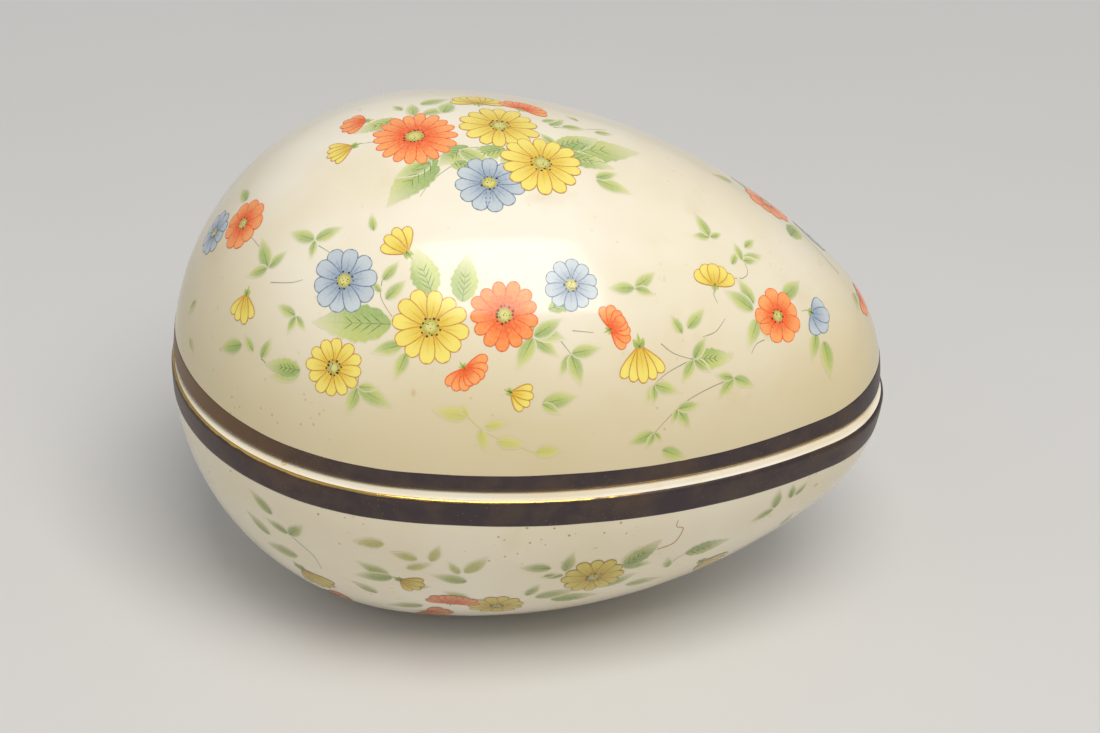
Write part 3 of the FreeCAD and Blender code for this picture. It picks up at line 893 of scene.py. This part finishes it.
    def stem(self, places, width=0.16, ink=STEM_INK, strength=0.75):
        """A thin tapering stroke through places (x, girth) on the egg."""
        knots = np.array([places[0], *places, places[-1]], float)
        track = []
        for k in range(1, len(knots) - 2):
            before, start, end, after = knots[k - 1:k + 3]
            for step in np.arange(0, 1, STROKE_STEP):
                track.append(0.5 * (
                    2 * start + (end - before) * step
                    + (2 * before - 5 * start + 4 * end - after) * step**2
                    + (3 * start - before - 3 * end + after) * step**3))
        track = np.array(track + [knots[-1]])
        middle = egg_point(track[:, 0], track[:, 1], self.inset)
        aside = unit(np.cross(egg_normal(middle, self.inset), np.gradient(middle, axis=0)))
        taper = np.linspace(1.0, 0.45, len(track))[:, None] * width / 2
        lines = [middle + aside * taper * share for share in (-1, -0.5, 0.5, 1)]
        size = len(track)
        faces = [
            (line * size + i, line * size + i + 1, (line + 1) * size + i + 1, (line + 1) * size + i)
            for line in range(3) for i in range(size - 1)
        ]
        cover = strength * np.concatenate([np.full(size, share) for share in (0.0, 1.0, 1.0, 0.0)])
        self.add(np.vstack(lines), [face[::-1] for face in faces], ink, cover, STEM_LIFT)

    def leaves(self, *places, style="green"):
        """Leaves at places (x, girth, heading, length), some with a breadth too."""
        for place in places:
            self.leaf(*place, style=style)

    def sprigs(self, *places):
        """Sprigs at places (x, girth), each with leaves (heading, length) that share that root."""
        for x, girth, *leaves in places:
            for heading, length in leaves:
                self.leaf(x, girth, heading, length)

    def stems(self, *paths, **about):
        """Stems along paths, all of one width, ink and strength."""
        for path in paths:
            self.stem(path, **about)

    def half_daisies(self, *places):
        """Half-daisies at places (x, girth, heading, length, kind)."""
        for place in places:
            self.half_daisy(*place)

    def daisies(self, *places):
        """Daisies at places (x, girth, diameter, petals, kind), some with a level too."""
        for place in places:
            self.daisy(*place)

    def build(self):
        """Makes the piece, with its inks and how much they cover on its points."""
        piece = add_object(
            self.name, np.vstack(self.points), self.faces, self.body,
            LID_PLACE if self.body == "lid" else BASE_PLACE,
            lid_transfer if self.body == "lid" else base_transfer, "glazed_porcelain")
        inks = np.hstack([np.vstack(self.inks), np.ones((self.count, 1))])
        attribute = piece.data.color_attributes.new("ink", "FLOAT_COLOR", "POINT")
        attribute.data.foreach_set("color", inks.astype(np.float32).ravel())
        add_attribute(piece, "cover", np.concatenate(self.covers))


def crown_bouquet(spray):
    """The bouquet on the crown of the lid."""
    spray.leaves(
        (-12, 75, -125, 8.4), (-12.5, 74, -146, 4.8), (-9.5, 78, -28, 4.8), (2.5, 82.5, 25, 10),
        (2, 83.5, 41, 6.2), (3, 81.5, -2, 5.8), (2, 84.5, 137, 2.8), (7, 76, 36, 3.1),
        (7, 75.5, -9, 4.4), (4.5, 99.5, 154, 1.6), (2.5, 93.5, 18, 3), (0, 94, 37, 2.4),
        (-15.5, 90.5, 99, 3.6), (-15, 96.5, 37, 4), (-14.5, 91, 36, 3.9), (-17, 93.5, 125, 2.3),
        (-17, 89, -164, 5.5))
    spray.stems(
        [(-16, 81.5), (-19, 81), (-22, 81)], [(1.5, 92), (5, 95), (8, 99)],
        [(-9, 75), (-12, 69), (-13.5, 64)])
    spray.daisies(
        (-15, 82, 10.5, 18, "red"), (-5, 88.5, 9.7, 14, "yellow", 1), (-5.5, 69, 8.3, 11, "blue"),
        (0.5, 77, 10, 14, "yellow", 2))
    spray.bud(-22.5, 80.5, -162, 3.3, "yellow")
    spray.bud(-21.5, 90.5, 180, 3.1, "red", span=55)
    spray.half_daisies((-2.5, 99.5, 70, 3.4, "red"), (-8, 99.5, 100, 3.6, "yellow"))
    spray.leaves(
        (-8.5, 79.5, -130, 5.2, 1.5), (-4, 80, -150, 5.6, 1.5), (-10.5, 74.5, -20, 5.4, 1.4),
        (-3, 81, -100, 5.0, 1.3), (-12, 92, 80, 4.2, 1.2), (1, 92.5, 60, 3.6, 0.9), (6.5, 95, 30, 2.6))
    spray.stems(
        [(-9.5, 79.5), (-11.5, 76), (-12.5, 72)], [(-5, 80), (-8, 79), (-10.5, 77)],
        [(2, 82.5), (5, 83.5), (8.5, 84.5)], width=0.2)


def front_garland(spray):
    """The long garland along the front of the lid."""
    spray.sprigs(
        (-25.5, 54.5, (21, 3.5), (156, 3.7), (-98, 2.4)),
        (-27, 36.5, (156, 2.9), (-116, 2.3), (-51, 2.1)))
    spray.leaves(
        (-18.5, 55.5, 103, 2.4), (-15.5, 35.5, -179, 8.7), (-17, 44.5, 54, 2.9), (-16.5, 40.5, 47, 3.2),
        (-17, 42, 134, 1.9), (-14, 31.5, -163, 3.6), (-13.5, 30, -111, 3.3), (-26, 23.5, -166, 4),
        (-26, 24.5, 179, 3.7), (-11, 42, 114, 6.4, 1.9), (-7.5, 41, 88, 6.0, 1.8),
        (-26, 24, 178, 5.2, 1.3), (0.5, 36.5, -10, 4.6, 1.1), (2.5, 41, 30, 5.6, 1.2))
    spray.sprigs(
        (-19, 22, (-109, 3.4), (-26, 4.3), (3, 2.4)), (1, 35, (-112, 4), (36, 3.8), (-33, 3.5)),
        (2.5, 21, (13, 4.1), (-28, 2.4)))
    spray.leaves(
        (-6, 17.5, 172, 3.8), (-6, 17.5, 119, 1.6), (-4.5, 15, -72, 2.8), (-4, 15.5, 13, 2.6),
        (-2.5, 12.5, -7, 3.3), (2, 10, 6, 3.2), style="faint")
    spray.sprigs(
        (12.5, 48.5, (-171, 3.2), (45, 3.3), (-8, 2.4)), (5.5, 32, (15, 3.5), (-110, 2.8), (-67, 3.7)))
    spray.leaves((18.5, 39, 129, 2.6), (19, 40.5, 52, 3.3))
    spray.sprigs(
        (20, 32.8, (62, 3), (7, 5), (-28, 2.6), (-112, 3)), (25, 28.5, (174, 2.4), (-16, 3), (-125, 3)),
        (15.5, 26, (-13, 3.2), (-108, 2.2), (-85, 2.3)), (18.5, 20, (9, 2.8), (-52, 2.9), (-106, 1.8)),
        (16, 14, (-160, 3.3), (-115, 2), (-47, 1.4)))
    spray.leaves((17, 9.5, -26, 3.5))
    spray.stems(
        [(-17, 45), (-17, 41), (-15.5, 37)], [(16, 36), (17.5, 34), (19.5, 33), (21.5, 33)],
        [(5.5, 37), (8, 37)], [(4, 35), (5.5, 32)], [(-25, 53), (-23.5, 51)],
        [(20, 33), (17, 29), (15.5, 26)], [(25, 28.5), (21, 24), (18.5, 20), (16, 14)])
    spray.stems([(-6, 17.5), (-3.5, 14), (2, 10)], ink=FAINT_DEEP)
    spray.stems([(-19, 25), (-19, 22)], [(10, 48.5), (15, 48)])
    spray.daisies(
        (-21.5, 44.5, 8, 10, "blue"), (5, 47, 6.5, 10, "blue"), (-22, 25.5, 7, 12, "yellow"),
        (-11, 35.5, 9, 12, "yellow"), (-2.5, 39, 8.3, 13, "coral", 1))
    spray.half_daisies((-6.6, 27.2, -52, 2.9, "red"), (10.1, 38.4, 34, 2.9, "red"))
    spray.bud(-14.5, 51, 132, 3.4, "yellow", petals=4)
    spray.bud(13.5, 34.5, -77, 4.4, "yellow")
    spray.bud(-1, 23, -21, 2.7, "yellow", petals=4)


def tip_spray(spray):
    """The small spray by the narrow end of the lid."""
    spray.sprigs((21.2, 68.5, (-164, 2.4), (125, 3.4), (40, 2.0)))
    spray.leaves((24, 62, 72, 2.2))
    spray.sprigs((25.3, 64.8, (119, 2.5), (35, 3.4), (24, 2.3)))
    spray.leaves(
        (25.5, 70, 54, 2.4), (27, 51.5, 131, 3.5), (27, 49.5, 159, 4.2), (30.5, 57, 51, 4.2),
        (27.5, 47.5, -103, 3.8), (28, 46.5, -58, 2.2), (35, 48.5, -93, 3.4), (36, 46, -65, 4.3))
    spray.stems(
        [(24.5, 58), (25.5, 59), (26, 62), (24.8, 68)], [(28.5, 41), (27.5, 39), (27, 36)],
        [(22, 53), (22, 51), (22.5, 49)], [(21, 39), (22.5, 41), (23.5, 45)], [(34.5, 58), (33, 55)])
    spray.daisies((30, 50, 6.8, 9, "red"))
    spray.bud(22, 54.5, 98, 3.0, "yellow", span=70, flat=0.85)
    spray.bud(34.5, 56, -8, 3.0, "blue", petals=4, span=66)


def blunt_spray(spray):
    """The spray round the blunt end of the lid."""
    spray.leaves(
        (-35, 76, 117, 3.4), (-41, 28, -53, 2), (-40.5, 45, -152, 2.3), (-33.5, 28.5, -170, 4),
        (-31, 25.5, 63, 2.8), (-32, 27, 134, 2.4))
    spray.sprigs((-31, 49, (113, 4.2), (-173, 3.2), (35, 3)))
    spray.stems(
        [(-30.5, 45), (-28, 44.5), (-26.5, 45)], [(-31, 49), (-32.5, 56), (-34, 61)],
        [(-31, 25.5), (-29, 23), (-27, 23)])
    spray.daisies((-35, 66.5, 7, 9, "red", 1), (-39, 73, 6, 10, "blue"))
    spray.bud(-33.5, 42, -105, 3.3, "yellow", petals=4)


def far_spray(spray):
    """The spray behind the crown, nearer the narrow end."""
    spray.leaves(
        (31.5, 90, 70, 5), (40, 88, -61, 2.4), (27, 110, 165, 3.4), (31, 118, 110, 3),
        (24, 104, -150, 3))
    spray.stems([(38, 92), (34, 100), (29, 106)])
    spray.daisies((28.5, 106, 7, 10, "red"), (34.5, 115, 6, 10, "blue"))
    spray.half_daisies((41, 93, 20, 2.8, "red"))


def base_front_spray(spray):
    """The sprays along the front of the base."""
    spray.leaves(
        (-29, -16.5, 153, 3.8), (-29.5, -26.5, 158, 3.7), (-27, -20.5, 175, 3.1), (-27, -21, 58, 3.5),
        (-26, -29, -157, 4.8), (-5, -25, 164, 4.2), (2, -33, 60, 3.2), (3, -34.5, 8, 4.8),
        (5, -37, -12, 5.5), (-5, -33, 150, 3.2), (11, -34, 20, 4.4), (14, -37, -15, 4.2),
        (5, -21, 172, 3.7), (4, -24, 7, 1.8), (-14, -25, -164, 4.5), (-14.5, -24.5, 158, 4),
        (-11.5, -28.5, 10, 1.8), (-16, -34.5, 150, 3.4), (-10.5, -39, -155, 4.6), (6.5, -23, 74, 3.6),
        (6.5, -24.5, 177, 2.8), (13.5, -24.5, 57, 3.5), (13.5, -25, 37, 5.5), (13.5, -25.5, -10, 3.4),
        (19, -33, 89, 2.6), (21, -27.5, -8, 5.6), (31.5, -22.5, -166, 3), (31.5, -22.5, 78, 3.2),
        (33.5, -21.5, 85, 2.6), (34, -21, 35, 2.1), (33, -46, 54, 2.8))
    spray.leaves(
        (-15, -13.5, -171, 3.7), (-11, -17.5, 165, 3.3), (-9.5, -18, 72, 3.2), (-12.5, -21, 22, 3.1),
        (-6, -22, 119, 2.7), (-5.5, -21.5, 48, 4), style="faint")
    spray.stems([(19, -33), (20, -29), (22, -27)], [(-27, -20.5), (-24, -25), (-23, -30)])
    spray.stems(
        [(17.5, -21), (19.5, -20), (20.4, -15), (19.6, -13.5), (19.7, -11)],
        width=0.22, ink=HAIRLINE_INK, strength=0.95)
    spray.daisies((-1.5, -38.5, 7, 11, "yellow"), (10, -27.5, 8, 12, "yellow", 1))
    spray.half_daisies((-7, -36, 80, 3.4, "red"), (-10, -46, -20, 3.8, "red"))
    spray.bud(-13, -26, -29, 3.0, "yellow", petals=4)
    spray.bud(-25.5, -36.5, -40, 4.6, "yellow")
    spray.bud(23.5, -39.5, -60, 4, "yellow")
    spray.half_daisies((-22.5, -50, -20, 3.8, "red"))


def back_garland(spray):
    """The same garland again along the back of the lid, the other way round."""
    spray.sprigs(
        (14, 136, (-24, 3.4), (-160, 3.6), (82, 2.4)), (17, 151, (-20, 3), (64, 2.4), (129, 2.2)))
    spray.leaves(
        (0, 140, -66, 5), (-2, 141, -82, 4), (6.5, 144.5, 2, 8), (5, 137, -126, 2.9), (4, 149, 20, 3.6),
        (16, 156, 14, 4), (-13, 142, 180, 4))
    spray.sprigs(
        (8.5, 158, (71, 3.4), (154, 4), (-177, 2.4)), (-12, 146, (68, 3.8), (-144, 3.6), (147, 3.4)),
        (-13.5, 159, (-167, 3.8), (152, 2.4)), (-24, 133, (9, 3.2), (-135, 3.2), (172, 2.4)),
        (-31, 147, (-118, 3), (-173, 4.4), (152, 2.6), (68, 3)),
        (-27, 159, (-171, 3), (72, 2.2), (95, 2.3)))
    spray.stems(
        [(-27, 144), (-29, 147), (-32, 147)], [(6, 135), (6, 139), (4.5, 143)],
        [(-31, 147), (-29, 153), (-27, 159)])
    spray.daisies(
        (10.5, 137, 7.4, 10, "blue"), (-16.5, 134, 6.5, 10, "blue"), (11.5, 153, 7, 12, "yellow"),
        (0, 145, 9, 12, "yellow"), (-8.5, 142, 8.3, 13, "coral", 1))
    spray.half_daisies((-4, 152, 122, 2.5, "red"), (-20, 141, -172, 2.7, "red"))
    spray.leaves((0, 140, -66, 6.2, 1.9), (-4, 140, -95, 6.0, 1.8))
    spray.bud(3.5, 129, -48, 3.4, "yellow", petals=4)
    spray.bud(-24.5, 146, 103, 4.4, "yellow")


def base_back_spray(spray):
    """The same sprays again along the back of the base."""
    spray.sprigs(
        (20, -162, (-27, 3.6), (50, 3.2), (-120, 3.2)), (4, -160, (12, 3.6), (-15, 3.4), (110, 3)),
        (-4, -158, (60, 2.8), (-60, 3.6), (175, 4)),
        (-20, -155, (-165, 4.6), (-120, 3.4), (120, 3), (60, 3.2)),
        (27, -150, (40, 3.2), (100, 2.8), (-30, 3.4)))
    spray.leaves((-5, -150, -165, 4.2), (-28, -158, 170, 4), (12, -150, 150, 3.6), (30, -158, -20, 3))
    spray.stems([(20, -162), (14, -157), (6, -158)], [(-20, -155), (-26, -156), (-30, -160)])
    spray.daisies((-13, -151, 8, 12, "yellow"), (8, -146, 7, 10, "blue"))
    spray.bud(0, -146, 130, 4, "red")
    spray.bud(17, -152, 30, 3.4, "yellow", petals=4)
    spray.bud(-27, -148, -150, 4, "red")


SPRAYS = (
    (crown_bouquet, "lid", 11),
    (front_garland, "lid", 23),
    (tip_spray, "lid", 31),
    (blunt_spray, "lid", 37),
    (far_spray, "lid", 41),
    (back_garland, "lid", 61),
    (base_front_spray, "base", 53),
    (base_back_spray, "base", 67),
)
for draw_spray, spray_body, spray_seed in SPRAYS:
    sheet = Spray(draw_spray.__name__, spray_body, spray_seed)
    draw_spray(sheet)
    sheet.build()

# ---- the stage

FLOOR_REACH = 3.0
KEY = dict(azimuth=22, elevation=63, distance=0.75, size=(0.48, 0.42), power=4.4, colour=(1.0, 0.965, 0.90))
FILL = dict(azimuth=-75, elevation=30, distance=1.2, size=(1.2, 1.0), power=0.7, colour=(0.92, 0.95, 1.0))
SURROUND = (0.93, 0.95, 1.0, 1.0)
SURROUND_STRENGTH = 0.37
AIM_ALONG = 2.76  # the point looked at, in the egg's millimetres
AIM_BELOW_SEAM = 0.88
CAMERA_DISTANCE = 388.3
CAMERA_AZIMUTH = 0.87  # in degrees, as are the next two
CAMERA_ELEVATION = 31.57
CAMERA_ROLL = 3.65
SENSOR_WIDTH = 36.0
FOCAL_LENGTH = 100.407273
NEAREST_SEEN = 0.01


def build_stage():
    """A plain pale floor, one large soft key light, a weak fill and an even pale surround."""
    mesh = bpy.data.meshes.new("floor")
    corners = [(x * FLOOR_REACH, y * FLOOR_REACH, 0) for x, y in ((-1, -1), (1, -1), (1, 1), (-1, 1))]
    mesh.from_pydata(corners, [], [(0, 1, 2, 3)])
    mesh.materials.append(make_floor_material())
    floor = bpy.data.objects.new("floor", mesh)
    bpy.context.scene.collection.objects.link(floor)
    add_light("key", **KEY)
    add_light("fill", **FILL)
    world = bpy.data.worlds.new("surround")
    world.use_nodes = True
    background = world.node_tree.nodes["Background"]
    background.inputs["Color"].default_value = SURROUND
    background.inputs["Strength"].default_value = SURROUND_STRENGTH
    bpy.context.scene.world = world


def direction(azimuth, elevation):
    """Unit vector towards a compass angle from the front and a height above the horizon."""
    a, e = math.radians(azimuth), math.radians(elevation)
    return Vector((math.sin(a) * math.cos(e), -math.cos(a) * math.cos(e), math.sin(e)))


def add_light(name, azimuth, elevation, distance, size, power, colour):
    """A soft rectangular light that faces the middle of the seam."""
    data = bpy.data.lights.new(name, "AREA")
    data.color = colour
    data.shape = "RECTANGLE"
    data.size, data.size_y = size
    data.energy = power
    light = bpy.data.objects.new(name, data)
    towards = direction(azimuth, elevation)
    light.location = Vector((0, 0, SEAM)) + towards * distance
    light.rotation_mode = "QUATERNION"
    light.rotation_quaternion = towards.to_track_quat("Z", "Y")
    bpy.context.scene.collection.objects.link(light)


def build_camera():
    """A long lens from the front and above, tipped a little to one side."""
    aim = Vector((AIM_ALONG * MM, 0, SEAM - AIM_BELOW_SEAM * MM))
    away = direction(CAMERA_AZIMUTH, CAMERA_ELEVATION)
    roll = math.radians(CAMERA_ROLL)
    right = away.cross(Vector((0, 0, -1))).normalized()
    upward = away.cross(right)
    level = right * math.cos(roll) + upward * math.sin(roll)
    upright = away.cross(level)
    data = bpy.data.cameras.new("camera")
    data.sensor_width = SENSOR_WIDTH
    data.lens = FOCAL_LENGTH
    data.clip_start = NEAREST_SEEN
    camera = bpy.data.objects.new("camera", data)
    turn = Matrix((level, upright, away)).transposed()
    camera.matrix_world = Matrix.Translation(aim + away * CAMERA_DISTANCE * MM) @ turn.to_4x4()
    bpy.context.scene.collection.objects.link(camera)
    bpy.context.scene.camera = camera


build_stage()
build_camera()
bpy.context.scene.view_settings.view_transform = "Standard"
